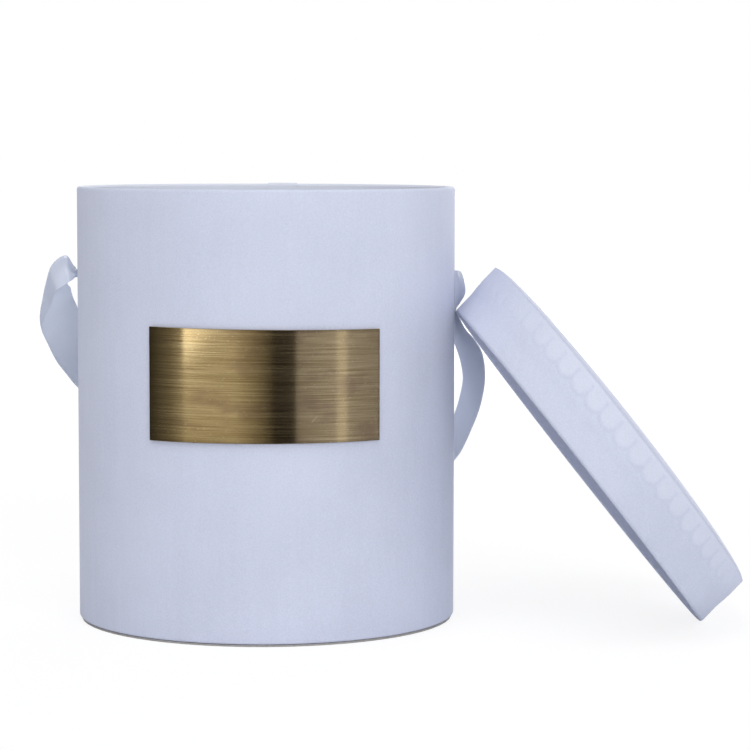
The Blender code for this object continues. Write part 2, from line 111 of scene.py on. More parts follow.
# Matt white paper: the camera sees it nearly white, with the shadow kept. It glows a little
# more further off, where the lamps hardly reach.
paper_light = add_node(table_finish, "BsdfDiffuse", {"Color": linear("#f0f1f3")})
paper_place = add_node(table_finish, "TexCoord").outputs["Object"]
paper_distance = add_node(table_finish, "VectorMath", {0: paper_place}, operation="LENGTH")
paper_reach = add_node(table_finish, "MapRange", {
    0: paper_distance, 1: 0.45, 2: 2.6, 3: 1.05, 4: 1.20})
paper_glow = add_node(table_finish, "Emission", {"Strength": paper_reach})
seen = add_node(table_finish, "LightPath")
glow_share = add_node(table_finish, "Math", {
    0: seen.outputs["Is Camera Ray"], 1: 0.80}, operation="MULTIPLY")
table_mix = add_node(table_finish, "MixShader", {0: glow_share, 1: paper_light, 2: paper_glow})
add_node(table_finish, "OutputMaterial", {"Surface": table_mix})
bpy.ops.mesh.primitive_plane_add(size=24)
table = bpy.context.object
table.name = "white_table"
table.data.materials.append(table_finish)

studio = bpy.data.worlds.new("white_studio")
studio.use_nodes = True
studio.node_tree.nodes.clear()
scene.world = studio
ray = add_node(studio, "LightPath")
ray_through = add_node(studio, "Math", {
    0: ray.outputs["Is Glossy Ray"], 1: ray.outputs["Is Transmission Ray"]}, operation="MAXIMUM")
ray_seen = add_node(studio, "Math", {
    0: ray.outputs["Is Camera Ray"], 1: ray_through}, operation="MAXIMUM")
# Light that soaks through the ribbon is room light, not the backdrop.
backdrop_seen = add_node(studio, "Math", {
    0: ray_seen, 1: ray.outputs["Is Diffuse Ray"]}, operation="SUBTRACT", use_clamp=True)
room_light = add_node(studio, "Background", {"Color": linear("#ffffff"), "Strength": 0.41})
backdrop = add_node(studio, "Background", {"Color": (1, 1, 1, 1), "Strength": 1.0})
studio_mix = add_node(studio, "MixShader", {0: backdrop_seen, 1: room_light, 2: backdrop})
add_node(studio, "OutputWorld", {"Surface": studio_mix})

# Each row is the light's name, its width and height, where it hangs and its power in watts.
lights_aim = Vector((0.05, 0, 0.12))
for name, width, height, place, power in [
        ("soft_box_front", 1.4, 1.4, (0.75, -2.15, 0.90), 17),
        ("soft_box_side", 1.4, 1.4, (2.25, 0.20, 0.90), 7),
        ("soft_box_above", 1.4, 1.4, (-0.40, -0.95, 2.29), 23),
        ("soft_box_behind", 1.2, 0.7, (0.70, 2.25, 0.48), 30)]:
    softbox_data = bpy.data.lights.new(name, "AREA")
    softbox_data.shape = "RECTANGLE"
    softbox_data.size, softbox_data.size_y = width, height
    softbox_data.energy = power
    softbox = new_object(name, softbox_data)
    softbox.location = place
    softbox.rotation_euler = (lights_aim - softbox.location).to_track_quat("-Z", "Y").to_euler()
    softbox.visible_camera = False

# The brass only shows what stands low round the camera: dark cloth, with a bright card on the
# left whose lower edge slants, a dim one under it, and a cooler card on the right. Each row is
# the card's name, the two directions that it spans in degrees to the right of the front, its
# brightness at the start and at the end, its colour, and the height of its lower edge at both.
card_top, card_lift, card_columns = 0.26, 0.001, 12
card_reach, near_card_reach = 0.50, 0.49
card_rows = [
    ("cloth_far_left", -110, -64, 0.04, 0.06, "#fffaf0", 0, 0),
    ("cloth_left", -64, -53, 0.06, 0.20, "#fffaf0", 0, 0),
    ("card_left_edge", -53, -45, 0.20, 0.46, "#fffaf0", 0, 0),
    ("card_left_low", -45, -16, 0.66, 0.64, "#fffaf2", 0, 0),
    ("card_left_bright", -45, -29, 2.60, 1.60, "#fdfdff", 0.115, 0.130),
    ("card_left_side", -29, -14, 1.60, 0.80, "#fdfdff", 0.130, 0.138),
    ("cloth_fading", -16, 3.5, 0.62, 0.05, "#fff9ee", 0, 0),
    ("cloth_front", 3.5, 15.4, 0.030, 0.035, "#f0ecff", 0, 0),
    ("card_right", 15.4, 37.5, 0.44, 0.66, "#e6e8ff", 0, 0),
    ("card_right_strip", 37.5, 43.5, 0.98, 0.98, "#eef0ff", 0, 0),
    ("card_right_far", 43.5, 80, 0.62, 0.36, "#e6e8ff", 0, 0),
]
for name, start, end, start_glow, end_glow, colour, start_low, end_low in card_rows:
    card_finish = new_finish(name + "_paper")
    card_shade = add_node(card_finish, "Attribute", attribute_name="glow")
    card_glow = add_node(card_finish, "Emission", {
        "Color": linear(colour), "Strength": card_shade.outputs["Fac"]})
    add_node(card_finish, "OutputMaterial", {"Surface": card_glow})
    points, glows = [], []
    for column in range(card_columns + 1):
        share = column / card_columns
        angle = radians(start + (end - start) * share)
        reach = near_card_reach if start_low else card_reach
        for height in (start_low + (end_low - start_low) * share, card_top):
            points.append((reach * sin(angle), -reach * cos(angle), height + card_lift))
            glows.append(start_glow + (end_glow - start_glow) * share)
    card_mesh = bpy.data.meshes.new(name)
    card_mesh.from_pydata(points, [], [(first, first + 2, first + 3, first + 1)
                                       for first in range(0, 2 * card_columns, 2)])
    glow_layer = card_mesh.attributes.new("glow", "FLOAT", "POINT")
    glow_layer.data.foreach_set("value", glows)
    card_mesh.materials.append(card_finish)
    card = new_object(name, card_mesh)
    card.visible_camera = card.visible_diffuse = False
    card.visible_shadow = card.visible_transmission = False


# ----------------------------------------
# Velvet wrap: flocked lilac paper round the greyboard tube. It is hemmed under the wall, glued
# up the outside, turned in over the rim, and lapped over itself in one upright seam at the back.

glue_line = 0.0003
velvet_thickness = 0.0005
body_radius = 0.100
body_height = 0.229
wall_board = 0.0020
tube_outer = body_radius - velvet_thickness - glue_line
tube_inner = tube_outer - wall_board
tube_bottom = 0.0021
tube_top = body_height - velvet_thickness - glue_line
edge_round = 0.0006
hem_width, turn_in, lap_depth = 0.010, 0.015, 0.007
wrap_sides = 192
seam_turn = radians(0.6)
seam_sides = 5
seam_height = 0.00045
hole_height = 0.183
hole_radius = 0.0030
punch_length = 0.26


def start_ring(name, sides, radius, height, turn=0.0):
    """A ring from Blender's circle, in edit mode with all of it selected."""
    bpy.ops.mesh.primitive_circle_add(vertices=sides, radius=radius, location=(0, 0, height),
                                      rotation=(0, 0, turn))
    piece = bpy.context.object
    piece.name = name
    bpy.ops.object.transform_apply()
    bpy.ops.object.mode_set(mode="EDIT")
    bpy.ops.mesh.select_mode(type="EDGE")
    bpy.ops.mesh.select_all(action="SELECT")
    return piece


def pull_up(height):
    """Extrudes the selected edges this far upwards."""
    bpy.ops.mesh.extrude_edges_move(TRANSFORM_OT_translate={"value": (0, 0, height)})


def pull_ring(path):
    """Extrudes the selected ring through these (radius, height) steps."""
    for (radius, height), (next_radius, next_height) in zip(path, path[1:]):
        pull_up(next_height - height)
        share = next_radius / radius
        bpy.ops.transform.resize(value=(share, share, 1), center_override=(0, 0, next_height))


def close_up():
    """Joins the points that meet, turns the faces outwards and leaves edit mode."""
    bpy.ops.mesh.select_all(action="SELECT")
    bpy.ops.mesh.remove_doubles(threshold=0.00001)
    bpy.ops.mesh.normals_make_consistent(inside=False)
    bpy.ops.object.mode_set(mode="OBJECT")


def select_only(piece):
    """Makes this piece the one that the next operators work on."""
    bpy.ops.object.select_all(action="DESELECT")
    piece.select_set(True)
    bpy.context.view_layer.objects.active = piece


def add_modifier(piece, kind, **settings):
    """Adds a modifier with these settings and applies it."""
    select_only(piece)
    modifier = piece.modifiers.new(kind.lower(), kind)
    for name, value in settings.items():
        setattr(modifier, name, value)
    bpy.ops.object.modifier_apply(modifier=modifier.name)


def smooth_by_angle(piece, angle=35):
    """Smooth faces with crisp edges past this angle in degrees."""
    select_only(piece)
    bpy.ops.object.shade_smooth_by_angle(angle=radians(angle))


def rounded(centre_radius, centre_height, radius, start, end, steps):
    """Steps along a rounded corner, angles in degrees from outwards, counter-clockwise."""
    turns = [radians(start + (end - start) * step / steps) for step in range(steps + 1)]
    return [(centre_radius + radius * cos(turn), centre_height + radius * sin(turn))
            for turn in turns]


def clamp(value, low=0, high=1):
    """The value, kept between low and high."""
    return min(max(value, low), high)


def paint_light_and_shade(piece, light_and_shade_at):
    """Stores the painted light at each point, or below 0 the painted shade."""
    marks = piece.data.attributes.new("painted_light_shade", "FLOAT", "POINT")
    for vertex, mark in zip(piece.data.vertices, marks.data):
        mark.value = light_and_shade_at(vertex.co)


wall_low, wall_high = tube_bottom + edge_round, tube_top - edge_round
wall_rings = 22
lap_top = tube_top - lap_depth
corner = edge_round + glue_line
wrap_path = [(tube_outer - hem_width, tube_bottom - glue_line),
             *rounded(tube_outer - edge_round, wall_low, corner, -90, 0, 5),
             *[(tube_outer + glue_line, wall_low + (wall_high - wall_low) * ring / wall_rings)
               for ring in range(1, wall_rings)],
             *rounded(tube_outer - edge_round, wall_high, corner, 0, 90, 5),
             *rounded(tube_inner + edge_round, wall_high, corner, 90, 180, 5),
             (tube_inner - glue_line, lap_top), (tube_inner - glue_line, tube_top - turn_in)]
# The first point of the circle lies on +Y, so the ring is turned until a point lies on the
# seam's edge.
velvet_wrap = start_ring("velvet_wrap", wrap_sides, *wrap_path[0], turn=-seam_turn)
pull_ring(wrap_path)
close_up()
add_modifier(velvet_wrap, "SOLIDIFY", thickness=velvet_thickness, offset=1.0,
             use_even_offset=True)


def on_seam(centre, normal):
    """Whether a face of the wrap's velvet side lies under the overlap at the back."""
    behind = (pi / 2 - seam_turn - atan2(centre.y, centre.x)) % (2 * pi)
    across = hypot(centre.x, centre.y)
    outward = (normal.x * centre.x + normal.y * centre.y) / across
    outside = across > body_radius - 0.00005 and outward > 0.5
    rim = centre.z > tube_top and normal.z > -0.1
    inside = across < tube_inner - glue_line - 0.0004 and outward < -0.5 and centre.z > lap_top
    return behind < 2 * pi * seam_sides / wrap_sides and (outside or rim or inside)


bpy.ops.object.mode_set(mode="EDIT")
bpy.ops.mesh.select_mode(type="FACE")
bpy.ops.mesh.select_all(action="DESELECT")
wrap_shape = bmesh.from_edit_mesh(velvet_wrap.data)
for face in wrap_shape.faces:
    face.select = on_seam(face.calc_center_median(), face.normal)
wrap_shape.select_flush_mode()
bmesh.update_edit_mesh(velvet_wrap.data)
bpy.ops.mesh.extrude_region_shrink_fatten(
    TRANSFORM_OT_shrink_fatten={"value": seam_height, "use_even_offset": True})
bpy.ops.object.mode_set(mode="OBJECT")
bpy.ops.mesh.primitive_cylinder_add(vertices=40, radius=hole_radius, depth=punch_length,
                                    location=(0, 0, hole_height), rotation=(0, pi / 2, 0))
hole_punch = bpy.context.object
add_modifier(velvet_wrap, "BOOLEAN", object=hole_punch, operation="DIFFERENCE", solver="EXACT")
bpy.data.objects.remove(hole_punch)
smooth_by_angle(velvet_wrap)

# Painted light: the turned-in velvet inside the rim is painted paler from this far in, over this
# run.
rim_light_start, rim_light_run = 0.0012, 0.0010


def wrap_painted_light_at(point):
    """Inside the rim the velvet is painted paler, as painted light."""
    inward = body_radius - hypot(point.x, point.y)
    return clamp((inward - rim_light_start) / rim_light_run) if point.z > body_height / 2 else 0


paint_light_and_shade(velvet_wrap, wrap_painted_light_at)

velvet = new_finish("lilac_velvet_paper")
# Flock on paper: matt, with a fine even grain, a faint nap brushed up and down and soft
# cloudy marks from handling, and a weak bloom where it turns away. The fibres are 0.3 mm, too
# fine to show, so the grain is drawn 0.9 mm coarse.
velvet_place = add_node(velvet, "TexCoord").outputs["Object"]
velvet_grain = add_node(velvet, "TexNoise", {
    "Vector": velvet_place, "Scale": 1 / 0.0009, "Detail": 2.0, "Roughness": 0.65})
velvet_clouds = add_node(velvet, "TexNoise", {
    "Vector": velvet_place, "Scale": 1 / 0.055, "Detail": 3.0, "Roughness": 0.55})
nap_place = add_node(velvet, "Mapping", {
    "Vector": velvet_place, "Scale": (1 / 0.004, 1 / 0.004, 1 / 0.045)})
velvet_nap = add_node(velvet, "TexNoise", {"Vector": nap_place, "Scale": 1.0, "Detail": 2.0})
tone_clouds = add_node(velvet, "Math", {0: velvet_clouds, 1: 0.34}, operation="MULTIPLY")
tone_nap = add_node(velvet, "Math", {
    0: velvet_nap, 1: 0.12, 2: tone_clouds}, operation="MULTIPLY_ADD")
tone_grain = add_node(velvet, "Math", {
    0: velvet_grain, 1: 0.54, 2: tone_nap}, operation="MULTIPLY_ADD")
velvet_tone = add_node(velvet, "MapRange", {0: tone_grain, 1: 0.36, 2: 0.64})
velvet_colour = add_node(velvet, "Mix", {
    0: velvet_tone, 6: linear("#c7ccdf"), 7: linear("#d3d8eb")}, data_type="RGBA")
velvet_painted_light_shade = add_node(velvet, "Attribute", attribute_name="painted_light_shade").outputs["Fac"]
# Painted light and shade: a stored value above 0 paints the velvet paler, one below 0 paints it
# darker.
for paint_share, paint_colour in ((0.85, "#dfe3ef"), (-0.85, "#b4b8cc")):
    painted_light_shade = add_node(velvet, "Math", {0: velvet_painted_light_shade, 1: paint_share}, operation="MULTIPLY")
    velvet_colour = add_node(velvet, "Mix", {
        0: painted_light_shade, 6: velvet_colour, 7: linear(paint_colour)}, data_type="RGBA")
velvet_bump = add_node(velvet, "Bump", {
    "Strength": 0.35, "Distance": 0.00012, "Height": velvet_grain})
velvet_shader = add_node(velvet, "BsdfPrincipled", {
    "Base Color": velvet_colour, "Roughness": 0.95, "Specular IOR Level": 0.15,
    "Sheen Weight": 0.10, "Sheen Roughness": 0.45, "Normal": velvet_bump})
add_node(velvet, "OutputMaterial", {"Surface": velvet_shader})
velvet_wrap.data.materials.append(velvet)
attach(velvet_wrap, "box_body")
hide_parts("body_wrap")


# ----------------------------------------
# Boards: the tube, its base, the cover under it and the lid's ring and top are bare greyboard,
# pressed from waste paper, cut with a clean edge and glued. They keep the CAD's own shapes.

greyboard = new_finish("bare_greyboard")
# Pressed waste paper: warm grey, dull, with flecks of lighter and darker fibre 1 to 2 mm long.
board_place = add_node(greyboard, "TexCoord").outputs["Object"]
board_flecks = add_node(greyboard, "TexVoronoi", {"Vector": board_place, "Scale": 1 / 0.0018})
board_fibre = add_node(greyboard, "TexNoise", {
    "Vector": board_place, "Scale": 1 / 0.0012, "Detail": 4.0, "Roughness": 0.7})
board_tone = add_node(greyboard, "Math", {0: board_fibre, 1: board_flecks}, operation="MULTIPLY")
board_colour = add_node(greyboard, "Mix", {
    0: board_tone, 6: linear("#a5a2a0"), 7: linear("#c6c3c0")}, data_type="RGBA")
board_bump = add_node(greyboard, "Bump", {
    "Strength": 0.4, "Distance": 0.0001, "Height": board_fibre})
board_shader = add_node(greyboard, "BsdfPrincipled", {
    "Base Color": board_colour, "Roughness": 0.92, "Specular IOR Level": 0.25,
    "Normal": board_bump})
add_node(greyboard, "OutputMaterial", {"Surface": board_shader})
for name in ("body_tube", "base_board", "base_cover", "lid_ring", "lid_top_board"):
    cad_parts[name].material_slots[0].material = greyboard


# ----------------------------------------
# Linings: smooth pale paper inside the tube, over its turned-in velvet, on the floor of the box
# and inside the lid, all glued flat. They keep the CAD's own shapes.

lining_paper = new_finish("pale_lining_paper")
# Smooth uncoated paper: a cool pale grey, nearly even, with a faint fibre and glue clouds.
lining_place = add_node(lining_paper, "TexCoord").outputs["Object"]
lining_fibre = add_node(lining_paper, "TexNoise", {
    "Vector": lining_place, "Scale": 1 / 0.0011, "Detail": 3.0, "Roughness": 0.6})
lining_clouds = add_node(lining_paper, "TexNoise", {
    "Vector": lining_place, "Scale": 1 / 0.030, "Detail": 2.0})
lining_tone = add_node(lining_paper, "Math", {
    0: lining_fibre, 1: 0.4, 2: lining_clouds}, operation="MULTIPLY_ADD")
lining_colour = add_node(lining_paper, "Mix", {
    0: lining_tone, 6: linear("#d6d9e2"), 7: linear("#e4e6ec")}, data_type="RGBA")
lining_bump = add_node(lining_paper, "Bump", {
    "Strength": 0.2, "Distance": 0.00006, "Height": lining_fibre})
lining_shader = add_node(lining_paper, "BsdfPrincipled", {
    "Base Color": lining_colour, "Roughness": 0.75, "Specular IOR Level": 0.35,
    "Normal": lining_bump})
add_node(lining_paper, "OutputMaterial", {"Surface": lining_shader})
for name in ("body_lining", "base_floor_paper", "lid_lining_ring", "lid_lining_disc"):
    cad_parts[name].material_slots[0].material = lining_paper


# ----------------------------------------
# Brass plate: a 0.6 mm sheet, sheared square, brushed along its length, toned dark with age and
# rolled to the wall's curve. A clear double-sided film holds it.

plate_width, plate_height = 0.1226, 0.0563
plate_centre_height = 0.1309
plate_standoff = 0.0009
plate_inner = body_radius + plate_standoff
plate_thickness = 0.0006
plate_edge_break = 0.00012
plate_turn = radians(-0.7)
plate_out_of_square = 0.0012
bpy.ops.mesh.primitive_grid_add(x_subdivisions=96, y_subdivisions=16, size=1)
plate = bpy.context.object
plate.name = "brushed_plate"
for vertex in plate.data.vertices:
    around = plate_turn + vertex.co.x * plate_width / plate_inner
    skew = plate_out_of_square * (0.5 - vertex.co.x) * (0.5 + vertex.co.y)
    vertex.co = Vector((plate_inner * sin(around), -plate_inner * cos(around),
                        plate_centre_height + vertex.co.y * plate_height + skew))
add_modifier(plate, "SOLIDIFY", thickness=plate_thickness, offset=1.0, use_even_offset=True)
add_modifier(plate, "BEVEL", width=plate_edge_break, segments=2, limit_method="ANGLE",
             angle_limit=radians(50))
smooth_by_angle(plate, 20)

brass = new_finish("brushed_antique_brass")
# Brass, brushed along its length and toned brown with age: level lines that run 20 to 100 mm,
# 0.1 mm apart on the real sheet and drawn 0.5 mm coarse so that they show, broader wiped bands,
# a brown bloom, darker edges, bright specks where the toning is chipped, and one slant scratch.
plate_uv = add_node(brass, "UVMap", uv_map="UVMap")
plate_flat = add_node(brass, "Mapping", {
    "Vector": plate_uv, "Scale": (plate_width, plate_height, 1)})
# Brush lines, wiped bands and the bloom: how long and how high a mark is, and its detail.
brass_marks = []
for mark_length, mark_height, detail in (
        (0.040, 0.0005, 2.0), (0.100, 0.0024, 2.0), (0.022, 0.012, 3.0)):
    mark_place = add_node(brass, "Mapping", {
        "Vector": plate_flat, "Scale": (1 / mark_length, 1 / mark_height, 1)})
    brass_marks.append(add_node(brass, "TexNoise", {
        "Vector": mark_place, "Scale": 1.0, "Detail": detail}, noise_dimensions="2D"))
brush_lines, wipe_marks, brown_bloom = brass_marks
line_tone = add_node(brass, "Math", {0: brush_lines, 1: 0.52}, operation="MULTIPLY")
wiped_tone = add_node(brass, "Math", {
    0: wipe_marks, 1: 0.33, 2: line_tone}, operation="MULTIPLY_ADD")
plate_grain = add_node(brass, "TexNoise", {
    "Vector": plate_flat, "Scale": 1 / 0.0007, "Detail": 1.0}, noise_dimensions="2D")
brass_tone = add_node(brass, "Math", {
    0: plate_grain, 1: 0.15, 2: wiped_tone}, operation="MULTIPLY_ADD")
brass_shades = add_node(brass, "MapRange", {0: brass_tone, 1: 0.36, 2: 0.64})
brass_colour = add_node(brass, "Mix", {
    0: brass_shades, 6: linear("#a58f63"), 7: linear("#cfba8c")}, data_type="RGBA")
bloom_share = add_node(brass, "MapRange", {0: brown_bloom, 1: 0.50, 2: 0.72, 3: 0.0, 4: 0.55})
bloomed_colour = add_node(brass, "Mix", {
    0: bloom_share, 6: brass_colour, 7: linear("#9c8266")}, data_type="RGBA")
# How near a point is to the sheet's edge, in metres.
edge_parts = add_node(brass, "SeparateXYZ", {0: plate_flat})
from_left_right = add_node(brass, "Math", {
    0: edge_parts.outputs[0], 1: plate_width / 2}, operation="PINGPONG")
from_top_bottom = add_node(brass, "Math", {
    0: edge_parts.outputs[1], 1: plate_height / 2}, operation="PINGPONG")
from_edge = add_node(brass, "Math", {0: from_left_right, 1: from_top_bottom}, operation="MINIMUM")
edge_share = add_node(brass, "MapRange", {0: from_edge, 1: 0.0, 2: 0.0016, 3: 0.50, 4: 0.0})
edged_colour = add_node(brass, "Mix", {
    0: edge_share, 6: bloomed_colour, 7: linear("#57482f")}, data_type="RGBA")
speck_cells = add_node(brass, "TexVoronoi", {
    "Vector": plate_flat, "Scale": 1 / 0.0058}, voronoi_dimensions="2D")
specks = add_node(brass, "MapRange", {0: speck_cells, 1: 0.030, 2: 0.060, 3: 0.40, 4: 0.0})
scratch_place = add_node(brass, "Mapping", {
    "Vector": plate_flat, "Location": (0.7050 * plate_width, 0.2130 * plate_height, 0),
    "Rotation": (0, 0, radians(47)), "Scale": (0.0025, 0.00018, 1)}, vector_type="TEXTURE")
scratch_reach = add_node(brass, "VectorMath", {0: scratch_place}, operation="ABSOLUTE")
scratch_parts = add_node(brass, "SeparateXYZ", {0: scratch_reach})
scratch_furthest = add_node(brass, "Math", {
    0: scratch_parts.outputs[0], 1: scratch_parts.outputs[1]}, operation="MAXIMUM")
scratch = add_node(brass, "MapRange", {0: scratch_furthest, 1: 0.7, 2: 1.0, 3: 0.55, 4: 0.0})
bright_marks = add_node(brass, "Math", {0: specks, 1: scratch}, operation="MAXIMUM")
marked_colour = add_node(brass, "Mix", {
    0: bright_marks, 6: edged_colour, 7: linear("#efe3c2")}, data_type="RGBA")
brass_bump = add_node(brass, "Bump", {
    "Strength": 0.16, "Distance": 0.00003, "Height": brush_lines})
brass_rough = add_node(brass, "MapRange", {0: brush_lines, 1: 0.3, 2: 0.7, 3: 0.10, 4: 0.16})
brass_shader = add_node(brass, "BsdfPrincipled", {
    "Base Color": marked_colour, "Metallic": 1.0, "Roughness": brass_rough, "Normal": brass_bump})
add_node(brass, "OutputMaterial", {"Surface": brass_shader})
plate.data.materials.append(brass)
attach(plate, "box_body")
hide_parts("brass_plate")

plate_film = new_finish("clear_adhesive_film")
# Clear film with a soft haze, seen only as a thin pale line round the plate.
film_place = add_node(plate_film, "TexCoord").outputs["Object"]
film_haze = add_node(plate_film, "TexNoise", {
    "Vector": film_place, "Scale": 1 / 0.004, "Detail": 2.0})
film_colour = add_node(plate_film, "Mix", {
    0: film_haze, 6: linear("#cfcfc8"), 7: linear("#dedfda")}, data_type="RGBA")
film_shader = add_node(plate_film, "BsdfPrincipled", {
    "Base Color": film_colour, "Roughness": 0.35})
add_node(plate_film, "OutputMaterial", {"Surface": film_shader})
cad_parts["plate_adhesive"].material_slots[0].material = plate_film


# ----------------------------------------
# Ribbon handle: one 25 mm satin strip. Its ends are gathered into pleats through the two holes,
# it opens to its width, folds over itself on the left, hangs in a loop behind the box and is
# pinched between the lid's corner and the wall on the right.

ribbon_width = 0.025
ribbon_thickness = 0.0005
ribbon_neck_radius = 0.00225
ribbon_drop = 0.128
ribbon_row_spacing = 0.0016
fold_softness = 0.0016
pinch_height = 0.16330
pinch_drop = hole_height - pinch_height
fall_drop = ribbon_drop - pinch_drop
lean_gap = 0.0011
pinch_gap = 0.75 * lean_gap
pinch_curl = ribbon_width / (4 * body_radius)
ribbon_low_angle = 125
# Each station gives the fold line, as shares of the ribbon's width off the wall and to the back
# and a share of the drop below the holes, and the directions from the fold to the front edge
# and to the back edge (out, back, up). Then come, where they differ from 0, 1 and 0, the share
# of the width in front of the fold, how far the ribbon is opened out of its neck, and how round
# its section is.
left_stations = [
    (-0.136, 0.00, 0.000, (0.0, -0.7, -0.7), (0.0, 0.7, 0.7), 0.50, 0.18, 1.0),
    (0.030, 0.00, 0.000, (0.0, -0.6, -0.8), (0.0, 0.6, 0.8), 0.50, 0.20, 1.0),
    (0.130, 0.00, -0.036, (-0.08, -0.43, -0.90), (-0.1, 0.8, -0.5), 0.54, 0.66, 0.5),
    (0.270, 0.03, -0.082, (-0.08, -0.37, -0.93), (-0.3, 0.4, -0.8), 0.70, 0.96, 0.1),
    (0.572, 0.08, -0.044, (-0.21, -0.36, -0.91), (-0.7, 0.45, -0.55), 0.64),
    (0.722, 0.12, 0.036, (-0.42, -0.43, -0.79), (-0.88, 0.45, -0.15), 0.45),
    (0.804, 0.16, 0.102, (-0.67, -0.48, -0.56), (-0.90, 0.30, 0.28), 0.32),
    (0.876, 0.22, 0.182, (-0.76, -0.43, -0.48), (-0.86, 0.22, 0.46), 0.14),
    (0.846, 0.32, 0.243, (-0.80, -0.50, -0.3), (-0.80, 0.35, 0.50), 0.02),
    (0.736, 0.44, 0.296, (-0.72, -0.50, -0.5), (-0.72, 0.50, 0.48)),
    (0.580, 0.76, 0.372, (-0.68, -0.52, -0.5), (-0.68, 0.52, 0.52)),
    (0.410, 1.12, 0.428, (-0.55, -0.60, -0.6), (-0.55, 0.60, 0.58)),
    (0.110, 1.68, 0.512, (-0.38, -0.62, -0.7), (-0.38, 0.62, 0.68)),
]
# Behind the box: the lower edge's angle round the back, its stand-off, its drop, how upright.
back_stations = [
    (37, 0.26, 0.622, 0.62), (53, 0.10, 0.728, 0.66), (70, 0.036, 0.825, 0.80),
    (88, 0.036, 0.908, 0.90), (106, 0.036, 0.967, 0.96), (122, 0.036, 0.997, 0.99),
    (137, 0.070, 0.992, 0.97), (151, 0.180, 0.940, 0.90),
]
right_fall_stations = [
    (0.095, 1.16, 0.775, (0.1, -0.6, -0.8), (-0.05, 0.62, 0.78)),
    (0.230, 1.00, 0.726, (0.1, -0.6, -0.8), (-0.09, 0.64, 0.77)),
    (0.410, 0.80, 0.625, (0.2, -0.6, -0.7), (-0.17, 0.68, 0.72)),
    (0.585, 0.60, 0.510, (0.3, -0.7, -0.6), (-0.29, 0.72, 0.63)),
    (0.676, 0.40, 0.398, (0.4, -0.7, -0.5), (-0.44, 0.72, 0.51)),
    (0.680, 0.20, 0.300, (0.5, -0.7, -0.4), (-0.56, 0.70, 0.42)),
    (0.600, 0.04, 0.212, (0.6, -0.7, -0.3), (-0.60, 0.72, 0.32)),
    (0.446, -0.16, 0.152, (0.5, -0.8, -0.2), (-0.50, 0.83, 0.22)),
    (0.160, -0.16, 0.084, (0.2, -1.0, 0.0), (-0.22, 0.97, 0.08), 0.20, 0.97, 0.0),
]
right_bulge_stations = [
    (0.120, 0.00, 0.80, (-0.31, -0.95, 0.0), (0.0, 1.0, 0.0), 0.50, 0.84, 0.0),
    (0.240, 0.00, 0.56, (-0.61, -0.79, 0.0), (-0.2, 1.0, 0.0), 0.50, 0.80, 0.0),
    (0.235, 0.00, 0.25, (-0.60, -0.78, 0.05), (-0.3, 1.0, -0.2), 0.50, 0.80, 0.1),
    (0.140, 0.00, -0.02, (-0.42, -0.88, 0.10), (-0.1, 1.0, -0.1), 0.50, 0.66, 0.4),
    (0.030, 0.00, 0.000, (0.0, -1.0, 0.0), (0.0, 1.0, 0.0), 0.50, 0.18, 1.0),
    (-0.136, 0.00, 0.000, (0.0, -1.0, 0.0), (0.0, 1.0, 0.0), 0.50, 0.18, 1.0),
]


def side_station(side, start_drop, drop, out, back, down, to_front, to_back,
                 front_share=0.0, opening=1.0, roundness=0.0):
    """One station beside the box as plain values: fold point, directions, shares."""
    fold = Vector((side * (body_radius + out * ribbon_width), back * ribbon_width,
                   hole_height - start_drop - down * drop))
    front = Vector((side * to_front[0], *to_front[1:])).normalized()
    rear = Vector((side * to_back[0], *to_back[1:])).normalized()
    return [*fold, *front, *rear, front_share, opening, roundness]


def back_station(angle, out, down, upright):
    """One station behind the box, the strip lying along the wall with its lower edge here."""
    around = pi - radians(angle)
    radius = body_radius + out * ribbon_width
    outward = Vector((cos(around), sin(around), 0))
    backward = Vector((sin(around), -cos(around), 0))
    lean = sqrt(1 - upright ** 2) * (1 if angle < ribbon_low_angle else -1)
    rear = (backward * lean + Vector((0, 0, upright))).normalized()
    fold = outward * radius + Vector((0, 0, hole_height - down * ribbon_drop))
    return [*fold, *(-rear), *rear, 0.0, 1.0, 0.0]


def smooth_rows(rows, spacing):
    """Rows read from a smooth curve through the stations, this far apart."""
    smooth = []
    for index in range(len(rows) - 1):
        before = rows[max(index - 1, 0)]
        start, end = rows[index], rows[index + 1]
        after = rows[min(index + 2, len(rows) - 1)]
        span = (Vector(end[:3]) - Vector(start[:3])).length
        lead = (Vector(start[:3]) - Vector(before[:3])).length or span
        trail = (Vector(after[:3]) - Vector(end[:3])).length or span
        steps = max(1, round(span / spacing))
        for step in range(steps):
            share = step / steps
            row = []
            for last, here, there, further in zip(before, start, end, after):
                slope_here = (there - last) * span / (span + lead)
                slope_there = (further - here) * span / (span + trail)
                row.append((2 * share ** 3 - 3 * share ** 2 + 1) * here
                           + (share ** 3 - 2 * share ** 2 + share) * slope_here
                           + (3 * share ** 2 - 2 * share ** 3) * there
                           + (share ** 3 - share ** 2) * slope_there)
            smooth.append(row)
    smooth.append(rows[-1])
    return smooth


